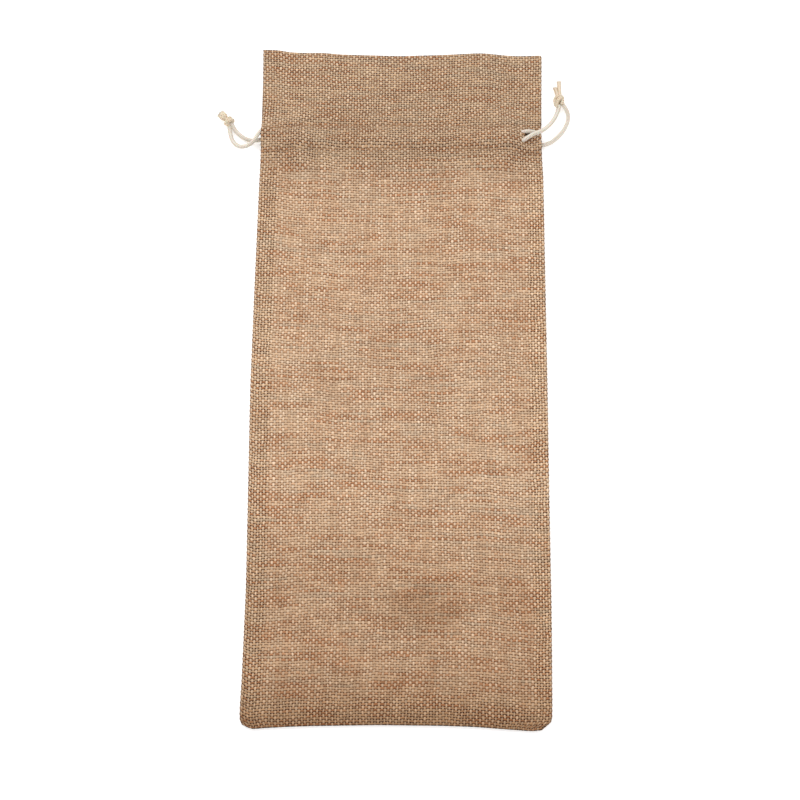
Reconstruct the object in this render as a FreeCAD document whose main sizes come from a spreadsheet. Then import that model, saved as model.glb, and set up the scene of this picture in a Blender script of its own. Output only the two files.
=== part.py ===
import FreeCAD, Part
import math
import os

import Sketcher

# Wine gift bag of open woven jute-look cloth, lying flat with its mouth towards +Y.
# +X is the right side seen from above, +Z is up, z = 0 is the underside of the back panel.
# Two cloth panels are sewn together along both sides and the bottom.  The mouth is hemmed
# inwards, and two rows of stitches across each hem make a casing.  Two drawstrings run round
# through both casings: one comes out at the left side, the other at the right side.

V = FreeCAD.Vector
os.makedirs("parts", exist_ok=True)
doc = FreeCAD.newDocument("wine_gift_bag")

# ---------------------------------------------------------------- driving dimensions, mm
SIZES = [
    ("half_width", 72.5, "half the width of the flat bag"),
    ("half_length", 172.5, "half the length of the flat bag"),
    ("corner_cut", 5.0, "how far the bottom corners are turned in"),
    ("cloth", 0.5, "thickness of one layer of cloth"),
    ("seam_plane", 1.0, "height where the seam allowances of the two panels meet"),
    ("seam_width", 8.6, "width of a side seam allowance"),
    ("side_in", 9.0, "from the side edge to where the front panel starts to rise"),
    ("shoulder_in", 14.0, "from the side edge to the middle of the rise"),
    ("crown_in", 20.0, "from the side edge to the level middle of the front panel"),
    ("facing_in", 15.6, "from the side edge to the end of the hem inside the casing"),
    ("tunnel_low", 119.2, "casing tunnel, edge nearer the bottom of the bag"),
    ("tunnel_high", 127.4, "casing tunnel, edge nearer the mouth"),
    ("front_tunnel_height", 2.6, "height of the casing tunnel in the front panel"),
    ("back_tunnel_height", 2.4, "height of the casing tunnel in the back panel"),
    ("row_low", 117.0, "stitch row below the casing"),
    ("row_high", 129.6, "stitch row above the casing"),
    ("slit_start", 59.6, "inner end of the slit in the front panel, right side"),
    ("slit_low", 121.4, "slit in the front panel, lower lip"),
    ("slit_high", 130.4, "slit in the front panel, upper lip"),
    ("cord_diameter", 2.1, "drawstring"),
    ("thread_radius", 0.2, "sewing thread"),
    ("stitch_long", 2.5, "length of one stitch"),
    ("stitch_pitch", 3.1, "from one stitch to the next"),
    ("seam_line_in", 1.1, "from the outer edge to the line of the seam stitches"),
    ("channel_half", 0.24, "half the height and width of the room for the seam stitches"),
    ("left_knot_long", 2.9, "left knot, half its length"),
    ("left_knot_round", 2.6, "left knot, half its thickness"),
    ("right_knot_long", 3.2, "right knot, half its length"),
    ("right_knot_round", 2.6, "right knot, half its thickness"),
    ("tail_radius", 1.05, "free cord ends beyond the knots"),
    ("left_tail", 5.4, "left cord ends, from the knot's middle"),
    ("right_tail_long", 11.6, "right cord, longer end, from the knot's middle"),
    ("right_tail_short", 7.4, "right cord, shorter end, from the knot's middle"),
]

# Cross-sections of the front panel from the bottom edge to the mouth:
# y, crown height, shoulder height, side height, edge height, thickness of the cloth layers
FRONT = [
    ("bottom_edge", -172.5, 1.8, 1.8, 1.8, 1.8, 0.8),
    ("bottom_corner", -168.0, 2.2, 2.1, 2.0, 1.8, 1.0),
    ("bottom_seam", -163.0, 2.8, 2.5, 2.2, 1.8, 1.0),
    ("bottom_single", -162.5, 2.85, 2.55, 2.25, 1.8, 0.5),
    ("base_rise", -142.0, 5.1, 3.9, 2.5, 1.8, 0.5),
    ("body_low", -125.0, 5.6, 4.2, 2.6, 1.8, 0.5),
    ("body_high", 85.0, 5.6, 4.2, 2.6, 1.8, 0.5),
    ("hem_single", 113.0, 8.6, 5.8, 3.0, 1.8, 0.5),
    ("hem_edge", 113.5, 8.7, 5.9, 3.0, 1.8, 1.0),
    ("row_low_rim", 115.6, 9.4, 6.5, 3.5, 1.9, 1.0),
    ("row_low_sewn", 117.0, 8.9, 6.2, 3.4, 1.9, 1.0),
    ("casing_low", 119.0, 11.2, 8.8, 6.4, 5.2, 3.6),
    ("casing_high", 127.6, 11.2, 8.8, 6.4, 5.2, 3.6),
    ("row_high_sewn", 129.6, 8.9, 6.2, 3.4, 1.9, 1.0),
    ("row_high_rim", 131.0, 9.4, 6.5, 3.5, 1.8, 1.0),
    ("header_middle", 146.0, 8.8, 6.0, 3.1, 1.8, 1.0),
    ("mouth", 172.5, 8.8, 6.0, 3.0, 1.8, 1.0),
]

# Cross-sections of the back panel: y, underside height, layers near the side, layers inside
BACK = [
    ("bottom_edge", -172.5, 0.0, 0.95, 0.95),
    ("bottom_corner", -168.0, 0.0, 0.95, 0.95),
    ("bottom_seam", -163.0, 0.0, 0.95, 0.95),
    ("bottom_single", -162.5, 0.0, 0.5, 0.5),
    ("hem_single", 113.0, 0.0, 0.5, 0.5),
    ("hem_edge", 113.5, 0.0, 0.95, 1.0),
    ("row_low_rim", 115.6, 0.0, 0.95, 1.0),
    ("row_low_sewn", 117.0, 0.45, 0.96, 1.45),
    ("casing_low", 119.0, 0.0, 0.95, 3.4),
    ("casing_high", 127.6, 0.0, 0.95, 3.4),
    ("row_high_sewn", 129.6, 0.45, 0.96, 1.45),
    ("row_high_rim", 131.0, 0.0, 0.95, 1.0),
    ("mouth", 172.5, 0.0, 0.95, 1.0),
]

FRONT_FIELDS = ("y", "crown", "shoulder", "side", "edge", "layers")
BACK_FIELDS = ("y", "under", "flank", "inside")

sheet = doc.addObject("Spreadsheet::Sheet", "Sizes")
SIZE = {}


def add_size(name, value, note=""):
    """One named dimension in the sheet."""
    row = len(SIZE) + 1
    sheet.set("A%d" % row, name)
    sheet.set("B%d" % row, str(value))
    sheet.set("C%d" % row, note)
    sheet.setAlias("B%d" % row, name)
    SIZE[name] = value


for size in SIZES:
    add_size(*size)
for prefix, table, fields in (("front", FRONT, FRONT_FIELDS), ("back", BACK, BACK_FIELDS)):
    for station, *values in table:
        for field, value in zip(fields, values):
            add_size("%s_%s_%s" % (prefix, station, field), value)
doc.recompute()


def ref(name):
    return "Sizes." + name


# ---------------------------------------------------------------- sketches of cross-sections
def outline_sketch(name, corners, y_expression):
    """A closed outline in an upright X-Z plane.  A corner is (x value, z value, x and z
    expressions); every corner is tied to the sheet by its distances from the origin."""
    sketch = doc.addObject("Sketcher::SketchObject", name)
    sketch.Placement = FreeCAD.Placement(V(0, 0, 0), FreeCAD.Rotation(V(1, 0, 0), 90))
    sketch.setExpression("Placement.Base.y", y_expression)
    count = len(corners)
    for i, (x, z, _, _) in enumerate(corners):
        x2, z2 = corners[(i + 1) % count][:2]
        sketch.addGeometry(Part.LineSegment(V(x, z, 0), V(x2, z2, 0)), False)
    for i in range(count):
        sketch.addConstraint(Sketcher.Constraint("Coincident", i, 2, (i + 1) % count, 1))
    for i, (x, z, x_expr, z_expr) in enumerate(corners):
        for kind, value, expr in (("DistanceX", x, x_expr), ("DistanceY", z, z_expr)):
            if value < 0:
                k = sketch.addConstraint(Sketcher.Constraint(kind, i, 1, -1, 1, -value))
            elif value > 0:
                k = sketch.addConstraint(Sketcher.Constraint(kind, -1, 1, i, 1, value))
            else:
                sketch.addConstraint(Sketcher.Constraint(kind, -1, 1, i, 1, 0.0))
                continue
            sketch.setExpression("Constraints[%d]" % k, expr)
    return sketch


def mirrored(right_half):
    """Corners of the right half, from the outer edge inwards, and their mirror image."""
    return right_half + [(-x, z, xe, ze) for x, z, xe, ze in reversed(right_half)]


def inwards(half, inset, half_expr, inset_name):
    return half - inset, "%s - %s" % (half_expr, inset_name)


def half_width_at(station):
    """The bottom edge is shorter than the bag is wide, because its corners are turned in."""
    if station == "bottom_edge":
        return SIZE["half_width"] - SIZE["corner_cut"], ref("half_width") + " - " + ref("corner_cut")
    return SIZE["half_width"], ref("half_width")


def front_section(station, y, crown, shoulder, side, edge, layers):
    half, half_expr = half_width_at(station)
    cell = "Sizes.front_%s_" % station
    outer, inner = [], []
    for inset, height, field in (
        ("side_in", side, "side"),
        ("shoulder_in", shoulder, "shoulder"),
        ("crown_in", crown, "crown"),
    ):
        x, x_expr = inwards(half, SIZE[inset], half_expr, ref(inset))
        outer.append((x, height, x_expr, cell + field))
        inner.append(
            (x - 0.3, height - layers, x_expr + " - 0.3", cell + field + " - " + cell + "layers")
        )
    seam = SIZE["seam_plane"]
    top = mirrored([(half, edge, half_expr, cell + "edge")] + outer)
    x, x_expr = inwards(half, SIZE["seam_width"], half_expr, ref("seam_width"))
    under = mirrored(
        [(half, seam, half_expr, ref("seam_plane")), (x, seam, x_expr, ref("seam_plane"))] + inner
    )
    return outline_sketch("front_" + station, top + under[::-1], cell + "y")


def back_section(station, y, under, flank, inside):
    half, half_expr = half_width_at(station)
    cell = "Sizes.back_%s_" % station
    seam = SIZE["seam_plane"]
    top = [(half, seam, half_expr, ref("seam_plane"))]
    for inset, more, height, height_expr in (
        ("seam_width", 0.0, seam, ref("seam_plane")),
        ("seam_width", 0.7, flank, cell + "flank"),
        ("facing_in", 0.0, flank, cell + "flank"),
        ("facing_in", 3.5, inside, cell + "inside"),
    ):
        x, x_expr = inwards(half, SIZE[inset] + more, half_expr, ref(inset) + " - %s" % more)
        top.append((x, height, x_expr, height_expr))
    bottom = [(-half, under, half_expr, cell + "under"), (half, under, half_expr, cell + "under")]
    return outline_sketch("back_" + station, mirrored(top) + bottom, cell + "y")


def loft(name, sections):
    made = doc.addObject("Part::Loft", name)
    made.Sections = sections
    made.Solid = True
    made.Ruled = True
    return made


def box(name, x, y, z, long, wide, high):
    """A box whose corner and sizes are expressions on the sheet."""
    made = doc.addObject("Part::Box", name)
    for field, expr in (
        ("Length", long),
        ("Width", wide),
        ("Height", high),
        ("Placement.Base.x", x),
        ("Placement.Base.y", y),
        ("Placement.Base.z", z),
    ):
        made.setExpression(field, expr)
    return made


def cut(label, base, tools):
    """base less all the tools, as the sub-part with that label."""
    joined = doc.addObject("Part::MultiFuse", label + "_room")
    joined.Shapes = tools
    made = doc.addObject("Part::Cut", label)
    made.Base = base
    made.Tool = joined
    made.Label = label
    return made


def prism(name, corners, y_low, y_high):
    """A closed outline in X-Z, carried from y_low to y_high."""
    made = doc.addObject("Part::Extrusion", name)
    made.Base = outline_sketch(name + "_outline", corners, y_low)
    made.DirMode = "Custom"
    made.Dir = V(0, 1, 0)
    made.Solid = True
    made.setExpression("LengthFwd", "%s - %s" % (y_high, y_low))
    return made


# ---------------------------------------------------------------- front and back panels
def front_tunnel():
    """Room for the drawstrings under the outer cloth of the front casing.  Beside the end of
    the hem it goes down to the back panel and out through the opening in the side seam."""
    half = SIZE["half_width"]
    cell = "Sizes.front_casing_low_"
    heights = dict(zip(FRONT_FIELDS, [row for row in FRONT if row[0] == "casing_low"][0][1:]))
    skin, room = SIZE["cloth"], SIZE["front_tunnel_height"]
    top = [(half + 1, heights["edge"] - skin - 0.13, "Sizes.half_width + 1",
            cell + "edge - Sizes.cloth - 0.13")]
    for inset, field in (("side_in", "side"), ("shoulder_in", "shoulder"), ("crown_in", "crown")):
        x, x_expr = inwards(half, SIZE[inset], ref("half_width"), ref(inset))
        top.append((x, heights[field] - skin, x_expr, cell + field + " - Sizes.cloth"))
    floor, floor_expr = skin, "Sizes.cloth"
    x_end, x_end_expr = inwards(half, SIZE["facing_in"], ref("half_width"), ref("facing_in"))
    x_crown, x_crown_expr = inwards(half, SIZE["crown_in"], ref("half_width"), ref("crown_in"))
    drop = " - Sizes.cloth - Sizes.front_tunnel_height"
    under = [
        (half + 1, floor, "Sizes.half_width + 1", floor_expr),
        (x_end, floor, x_end_expr, floor_expr),
        (x_end, heights["shoulder"] - skin - room + 0.4, x_end_expr,
         cell + "shoulder" + drop + " + 0.4"),
        (x_crown, heights["crown"] - skin - room, x_crown_expr, cell + "crown" + drop),
    ]
    corners = mirrored(top) + mirrored(under)[::-1]
    return prism("front_tunnel", corners, ref("tunnel_low"), ref("tunnel_high"))


def seam_channel(side):
    """Room for the stitches of a side seam, half in each panel."""
    sign = "" if side == "right" else "-"
    return box(
        side + "_channel",
        "%s(Sizes.half_width - Sizes.seam_line_in) - Sizes.channel_half" % sign,
        "-Sizes.half_length + 6",
        "Sizes.seam_plane - Sizes.channel_half",
        "2 * Sizes.channel_half",
        "2 * Sizes.half_length",
        "2 * Sizes.channel_half",
    )


def bottom_channel():
    return box(
        "bottom_channel",
        "-Sizes.half_width + Sizes.corner_cut + 1",
        "-Sizes.half_length + Sizes.seam_line_in - Sizes.channel_half",
        "Sizes.seam_plane - Sizes.channel_half",
        "2 * (Sizes.half_width - Sizes.corner_cut - 1)",
        "2 * Sizes.channel_half",
        "2 * Sizes.channel_half",
    )


def side_opening(side):
    """The side seam is left open beside the casing."""
    x = "Sizes.half_width - Sizes.seam_width - 0.7" if side == "right" else "-Sizes.half_width - 1"
    return box(
        side + "_opening", x, "Sizes.tunnel_low", "Sizes.cloth",
        "Sizes.seam_width + 1.7", "Sizes.tunnel_high - Sizes.tunnel_low", "1",
    )


front_slit = box(
    "front_slit", "Sizes.slit_start", "Sizes.slit_low", "Sizes.cloth",
    "Sizes.half_width - Sizes.slit_start + 1", "Sizes.slit_high - Sizes.slit_low", "12",
)
back_tunnel = box(
    "back_tunnel", "-Sizes.half_width - 1", "Sizes.tunnel_low", "Sizes.cloth",
    "2 * Sizes.half_width + 2", "Sizes.tunnel_high - Sizes.tunnel_low", "Sizes.back_tunnel_height",
)
channels = [seam_channel("left"), seam_channel("right"), bottom_channel()]
openings = [side_opening("left"), side_opening("right")]

front_panel = cut(
    "front_panel",
    loft("front_cloth", [front_section(*row) for row in FRONT]),
    [front_tunnel(), front_slit] + channels,
)
back_panel = cut(
    "back_panel",
    loft("back_cloth", [back_section(*row) for row in BACK]),
    [back_tunnel] + openings + channels,
)


# ---------------------------------------------------------------- sewing thread
def feature(label, shape):
    made = doc.addObject("Part::Feature", label)
    made.Shape = shape
    made.Label = label
    made.Placement = FreeCAD.Placement(V(0, 0, 0), FreeCAD.Rotation())
    return made


def stitches_along(start, end):
    """Separate stitches on a straight line, as many whole ones as fit."""
    line = end - start
    count = int(line.Length // SIZE["stitch_pitch"])
    step = line * (1.0 / max(count, 1))
    unit = V(line).normalize()
    lead = (step.Length - SIZE["stitch_long"]) / 2
    return [
        Part.makeCylinder(
            SIZE["thread_radius"], SIZE["stitch_long"], start + step * k + unit * lead, unit
        )
        for k in range(count)
    ]


def casing_row(label, y_name, front_station=None):
    """A row of stitches across a panel, sunk in the valley that they pull in the cloth."""
    half, y = SIZE["half_width"], SIZE[y_name]
    lift = SIZE["thread_radius"] + 0.14
    if front_station:
        cell = "front_%s_" % front_station
        right = [V(half - SIZE["crown_in"], y, SIZE[cell + "crown"] + lift),
                 V(half - SIZE["shoulder_in"], y, SIZE[cell + "shoulder"] + lift * 1.4),
                 V(half - SIZE["side_in"], y, SIZE[cell + "side"] + lift * 1.6),
                 V(half - 0.6, y, SIZE[cell + "edge"] + lift * 1.8)]
        if y_name == "row_high":
            right = right[:2] + [V(SIZE["slit_start"] - 0.2, y, right[1].z * 0.55 + right[2].z * 0.45)]
    else:
        right = [V(half - 0.6, y, SIZE["thread_radius"] + 0.01)]
    left = [V(-p.x, p.y, p.z) for p in reversed(right)]
    chain = left + right
    solids = []
    for a, b in zip(chain, chain[1:]):
        solids += stitches_along(a, b)
    return feature(label, Part.makeCompound(solids))


def seam_row(label, runs):
    return feature(label, Part.makeCompound([s for a, b in runs for s in stitches_along(a, b)]))


seam_x = SIZE["half_width"] - SIZE["seam_line_in"]
seam_y = SIZE["half_length"] - SIZE["seam_line_in"]
seam_z = SIZE["seam_plane"]
threads = [
    seam_row(
        side + "_seam_stitches",
        [(V(x, -SIZE["half_length"] + 7, seam_z), V(x, SIZE["tunnel_low"] - 0.6, seam_z)),
         (V(x, SIZE["slit_high"] + 0.4, seam_z), V(x, SIZE["half_length"] - 1, seam_z))],
    )
    for side, x in (("left", -seam_x), ("right", seam_x))
]
end_x = SIZE["half_width"] - SIZE["corner_cut"] - 1.5
threads.append(
    seam_row("bottom_seam_stitches", [(V(-end_x, -seam_y, seam_z), V(end_x, -seam_y, seam_z))])
)
threads += [
    casing_row("front_casing_lower_stitches", "row_low", "row_low_sewn"),
    casing_row("front_casing_upper_stitches", "row_high", "row_high_sewn"),
    casing_row("back_casing_lower_stitches", "row_low"),
    casing_row("back_casing_upper_stitches", "row_high"),
]

# ---------------------------------------------------------------- drawstrings
# Each drawstring is one cord.  It starts in its knot, goes in at its own side, along the front
# casing, turns back at the far side, comes out along the back casing and ends in its knot.
LEFT_ROUTE = [
    (-90.6, 133.6, 2.5), (-89.6, 129.8, 1.7), (-88.2, 125.6, 1.2), (-86.4, 121.9, 1.2),
    (-83.2, 119.5, 1.4), (-79.4, 119.4, 2.0), (-76.2, 121.6, 3.5), (-73.9, 124.4, 3.6),
    (-70.6, 125.8, 3.4), (-66.9, 125.5, 4.25), (-63.2, 125.3, 4.7), (-57.6, 125.2, 7.35),
    (-53.2, 125.3, 9.4), (-41.0, 125.0, 9.4), (-19.0, 125.3, 9.4), (19.0, 125.0, 9.4),
    (41.0, 125.3, 9.4), (53.2, 125.2, 9.4), (57.6, 125.1, 7.3), (61.6, 125.2, 4.7),
    (65.0, 125.2, 3.8), (66.4, 123.1, 2.75), (65.0, 121.0, 1.65), (61.5, 120.9, 1.65),
    (54.6, 121.2, 1.65), (41.0, 121.0, 1.65), (18.0, 121.3, 1.65), (-18.0, 121.0, 1.65),
    (-39.0, 121.3, 1.65), (-52.0, 121.1, 1.65), (-59.0, 120.8, 1.65), (-65.0, 120.5, 1.6),
    (-70.4, 121.2, 1.8), (-75.4, 122.6, 1.3), (-79.8, 123.3, 1.2), (-83.6, 125.8, 1.2),
    (-86.2, 129.4, 1.6), (-88.0, 133.2, 2.5),
]
RIGHT_ROUTE = [
    (80.4, 144.9, 2.5), (80.8, 141.6, 1.9), (80.0, 138.0, 1.4), (78.2, 134.4, 1.9),
    (75.4, 131.2, 3.4), (71.6, 128.9, 5.2), (67.8, 127.2, 6.6), (64.4, 125.2, 7.0),
    (60.8, 122.8, 6.1), (57.4, 121.4, 7.4), (53.2, 121.1, 9.4), (41.0, 121.3, 9.4),
    (19.0, 121.0, 9.4), (-19.0, 121.3, 9.4), (-41.0, 121.0, 9.4), (-53.2, 121.2, 9.4),
    (-57.6, 121.2, 7.3), (-61.6, 121.2, 4.8), (-65.0, 121.2, 4.1), (-66.4, 123.2, 2.8),
    (-65.0, 125.4, 1.65), (-61.5, 125.5, 1.65), (-54.6, 125.2, 1.65), (-41.0, 125.4, 1.65),
    (-18.0, 125.1, 1.65), (18.0, 125.4, 1.65), (39.0, 125.2, 1.65), (52.0, 125.5, 1.65),
    (59.0, 126.1, 1.65), (65.6, 126.2, 1.65), (69.6, 125.6, 1.7), (72.6, 123.4, 1.65),
    (75.6, 122.8, 1.3), (79.2, 124.2, 1.2), (82.6, 127.4, 1.2), (85.2, 131.6, 1.2),
    (86.4, 136.8, 1.2), (85.2, 141.4, 1.7), (83.4, 145.1, 2.6),
]


def rounded_route(route):
    """Straight runs joined by tangent arcs, each as large as its two runs allow."""
    points = [V(*p) for p in route]
    edges, radii, here = [], [], points[0]
    for a, b, c in zip(points, points[1:], points[2:]):
        back, on = V(a - b), V(c - b)
        run = min(back.Length, on.Length)
        turn = math.pi - back.getAngle(on)
        back.normalize()
        on.normalize()
        trim = 0.45 * run
        radius = trim / math.tan(turn / 2)
        start, end = b + back * trim, b + on * trim
        inward = V(back + on).normalize()
        middle = b + inward * (radius / math.cos(turn / 2) - radius)
        edges.append(Part.LineSegment(here, start).toShape())
        edges.append(Part.Arc(start, middle, end).toShape())
        radii.append(radius)
        here = end
    edges.append(Part.LineSegment(here, points[-1]).toShape())
    return Part.Wire(edges), radii


def drawstring(label, route):
    path, radii = rounded_route(route)
    radius = SIZE["cord_diameter"] / 2
    start, ahead = V(*route[0]), V(*route[1]) - V(*route[0])
    section = Part.Wire([Part.makeCircle(radius, start, ahead)])
    solid = path.makePipeShell([section], True, False)
    plain = math.pi * radius ** 2 * path.Length
    print("%s: length %.1f mm, radii %s" % (
        label, path.Length, " ".join("%.1f" % r for r in radii)))
    print("  volume %.1f mm3, section times length %.1f mm3" % (solid.Volume, plain))
    return feature(label, solid)


left_drawstring = drawstring("left_drawstring", LEFT_ROUTE)
right_drawstring = drawstring("right_drawstring", RIGHT_ROUTE)


# ---------------------------------------------------------------- knots and cord ends
def knot(label, centre, heading, tails):
    """An overhand knot: a firm lump with the cord's two free ends, which point onwards.
    heading is the knot's direction from above, in degrees from +X; tails are
    (name of the length, direction in degrees, sideways offset of the end)."""
    side = label.split("_")[0]
    lump = doc.addObject("Part::Ellipsoid", label + "_lump")
    lump.Angle3 = 360
    lump.setExpression("Radius1", "Sizes.%s_knot_round" % side)
    lump.setExpression("Radius2", "Sizes.%s_knot_long" % side)
    lump.setExpression("Radius3", "Sizes.%s_knot_round" % side)
    lump.Placement = FreeCAD.Placement(V(*centre), FreeCAD.Rotation(V(0, 0, 1), heading))
    pieces = [lump]
    for i, (length_name, direction, offset) in enumerate(tails):
        tail = doc.addObject("Part::Cylinder", "%s_tail_%d" % (label, i + 1))
        tail.setExpression("Radius", "Sizes.tail_radius")
        tail.setExpression("Height", ref(length_name))
        turn = FreeCAD.Rotation(V(0, 0, 1), direction) * FreeCAD.Rotation(V(0, 1, 0), 90)
        shift = FreeCAD.Rotation(V(0, 0, 1), heading).multVec(V(0, offset, 0))
        tail.Placement = FreeCAD.Placement(V(*centre) + shift - V(0, 0, 0.6), turn)
        pieces.append(tail)
    made = doc.addObject("Part::MultiFuse", label)
    made.Shapes = pieces
    made.Label = label
    return made


left_knot = knot(
    "left_drawstring_knot", (-90.0, 135.1, 2.65), 138,
    [("left_tail", 146, 0.9), ("left_tail", 130, -0.9)],
)
right_knot = knot(
    "right_drawstring_knot", (81.9, 147.2, 2.7), 95,
    [("right_tail_long", 88, -0.7), ("right_tail_short", 103, 0.8)],
)

# ---------------------------------------------------------------- check and write
doc.recompute()
for item in doc.Objects:
    bad = [state for state in item.State if state in ("Invalid", "Error")]
    if bad:
        raise RuntimeError("%s is %s" % (item.Label, bad))

PARTS = [front_panel, back_panel] + threads + [
    left_drawstring, left_knot, right_drawstring, right_knot,
]
for item in PARTS:
    shape = item.Shape
    if shape.isNull() or not shape.isValid():
        raise RuntimeError(item.Label + " has no valid shape")
    if not shape.Solids or shape.Volume <= 0:
        raise RuntimeError(item.Label + " is not solid")
    box_ = shape.BoundBox
    print("%-30s solids %3d  volume %9.1f  x %.1f..%.1f  y %.1f..%.1f  z %.2f..%.2f" % (
        item.Label, len(shape.Solids), shape.Volume,
        box_.XMin, box_.XMax, box_.YMin, box_.YMax, box_.ZMin, box_.ZMax))
    shape.exportStep("parts/%s.step" % item.Label)
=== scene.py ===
import math
from types import SimpleNamespace

import bpy
import numpy as np
from mathutils import Matrix, Vector


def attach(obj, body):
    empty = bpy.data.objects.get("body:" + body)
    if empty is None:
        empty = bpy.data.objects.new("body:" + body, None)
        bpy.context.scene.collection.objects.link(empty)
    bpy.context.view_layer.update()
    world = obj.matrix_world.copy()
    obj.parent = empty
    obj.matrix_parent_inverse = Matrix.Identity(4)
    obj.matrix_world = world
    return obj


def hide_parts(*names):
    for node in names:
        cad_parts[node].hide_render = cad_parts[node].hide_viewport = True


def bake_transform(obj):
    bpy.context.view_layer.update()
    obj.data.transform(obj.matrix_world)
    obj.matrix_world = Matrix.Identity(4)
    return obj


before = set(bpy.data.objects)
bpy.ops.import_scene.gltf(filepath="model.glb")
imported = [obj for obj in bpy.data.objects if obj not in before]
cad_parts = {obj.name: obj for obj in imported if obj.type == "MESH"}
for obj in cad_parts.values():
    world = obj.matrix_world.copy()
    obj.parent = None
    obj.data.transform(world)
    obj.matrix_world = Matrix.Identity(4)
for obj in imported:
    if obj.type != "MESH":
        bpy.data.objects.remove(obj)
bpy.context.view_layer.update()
MM = 0.001
rng = np.random.default_rng(7)

# ---------------------------------------------------------------- sizes of the bag, mm
TOP = 172.5                              # the mouth above the middle, and the base below it
LOWER_ROW, UPPER_ROW = 117.0, 129.6      # the casing's two stitch rows
CASING = 123.3                           # the middle of the casing
SIDE = 72.6                              # where the casing's cloth ends at a side
WARPS, WEFTS = 102, 270                  # threads across and along the bag
WEFT_PITCH = 1.278                       # mm from one weft to the next
CORD_RADIUS = 1.05                       # mm

# ---------------------------------------------------------------- camera
camera = bpy.data.objects.new("camera", bpy.data.cameras.new("camera"))
bpy.context.scene.collection.objects.link(camera)
camera.data.sensor_width = 36.0
camera.data.lens = 71.4
camera.data.clip_start = 0.01
CAMERA_PLACE = (0.0006, -0.2137, 0.7588) # m
CAMERA_TILT, CAMERA_ROLL = 14.77, 0.47   # degrees
turn = (Matrix.Rotation(math.radians(CAMERA_TILT), 4, "X")
        @ Matrix.Rotation(math.radians(CAMERA_ROLL), 4, "Z"))
camera.matrix_world = Matrix.Translation(CAMERA_PLACE) @ turn
bpy.context.scene.camera = camera
bpy.context.scene.view_settings.view_transform = "Standard"


# ---------------------------------------------------------------- small helpers
def smooth(t):
    """0 below 0, 1 above 1 and an S curve between."""
    t = np.clip(t, 0, 1)
    return t * t * (3 - 2 * t)


def new_mesh(name, verts, faces, uvs=None):
    """A mesh object from vertices in mm, with one uv per vertex.  Unused vertices are left out."""
    verts = np.asarray(verts, float)
    used = np.zeros(len(verts), bool)
    used[np.concatenate([np.asarray(f) for f in faces])] = True
    place = np.cumsum(used) - 1
    faces = [[int(place[q]) for q in f] for f in faces]
    verts, uvs = verts[used], None if uvs is None else np.asarray(uvs)[used]
    mesh = bpy.data.meshes.new(name)
    mesh.from_pydata((verts * MM).tolist(), [], faces)
    if uvs is not None:
        layer = mesh.uv_layers.new(name="threads")
        corner = np.empty(len(mesh.loops), np.int32)
        mesh.loops.foreach_get("vertex_index", corner)
        layer.data.foreach_set("uv", np.asarray(uvs, np.float32)[corner].ravel())
    mesh.polygons.foreach_set("use_smooth", [True] * len(mesh.polygons))
    mesh.update()
    obj = bpy.data.objects.new(name, mesh)
    bpy.context.scene.collection.objects.link(obj)
    return obj


def apply_modifiers(obj):
    """The object keeps the mesh that its modifiers make, and the modifiers go."""
    bpy.context.view_layer.update()
    made = bpy.data.meshes.new_from_object(obj.evaluated_get(bpy.context.evaluated_depsgraph_get()))
    obj.modifiers.clear()
    obj.data = made
    return obj


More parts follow.
